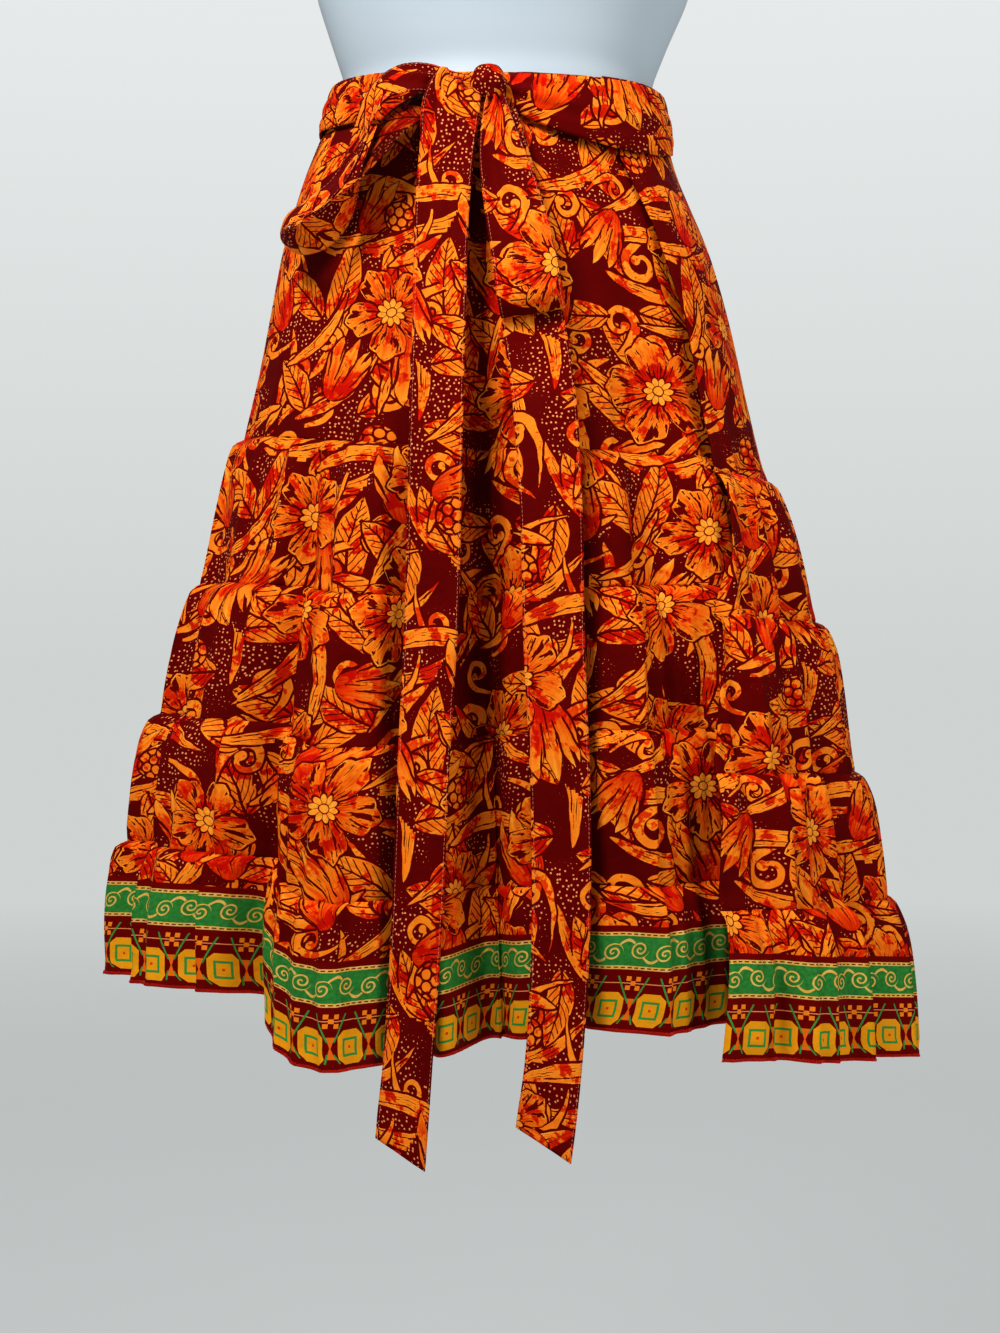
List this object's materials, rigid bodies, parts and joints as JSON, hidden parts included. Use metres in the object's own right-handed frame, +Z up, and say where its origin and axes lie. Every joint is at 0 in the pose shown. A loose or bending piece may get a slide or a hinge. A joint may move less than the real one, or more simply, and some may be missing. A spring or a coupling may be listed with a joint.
{
  "type": "tiered wrap skirt on hanging torso form",
  "caption": "Five-tier gathered wrap skirt with a bow and a border at the hem, hanging filled out on a smooth limbless torso form with a hook.",
  "frame": {"origin": "under the top of the hook, where it bears on the rail that holds it", "axes": "+Z up, -Y is the front of the skirt with the bow, +X is to the right of a viewer in front"},
  "size_m": [0.5689, 0.4336, 1.2191],
  "materials": {
    "printed_cloth": "printed",
    "border_cloth": "printed",
    "form_plastic": "satin",
    "hook_steel": "satin"
  },
  "bodies": {
    "root": {"waistband": "printed_cloth", "tie_round": "printed_cloth", "tier_1": "printed_cloth", "tier_2": "printed_cloth", "tier_3": "printed_cloth", "tier_4": "printed_cloth", "tier_5": "border_cloth", "knot": "printed_cloth", "loop_left": "printed_cloth", "loop_right": "printed_cloth", "tail_left": "printed_cloth", "tail_right": "printed_cloth", "torso_form": "form_plastic", "neck_cap": "form_plastic", "form_hook": "hook_steel"}
  },
  "joints": []
}
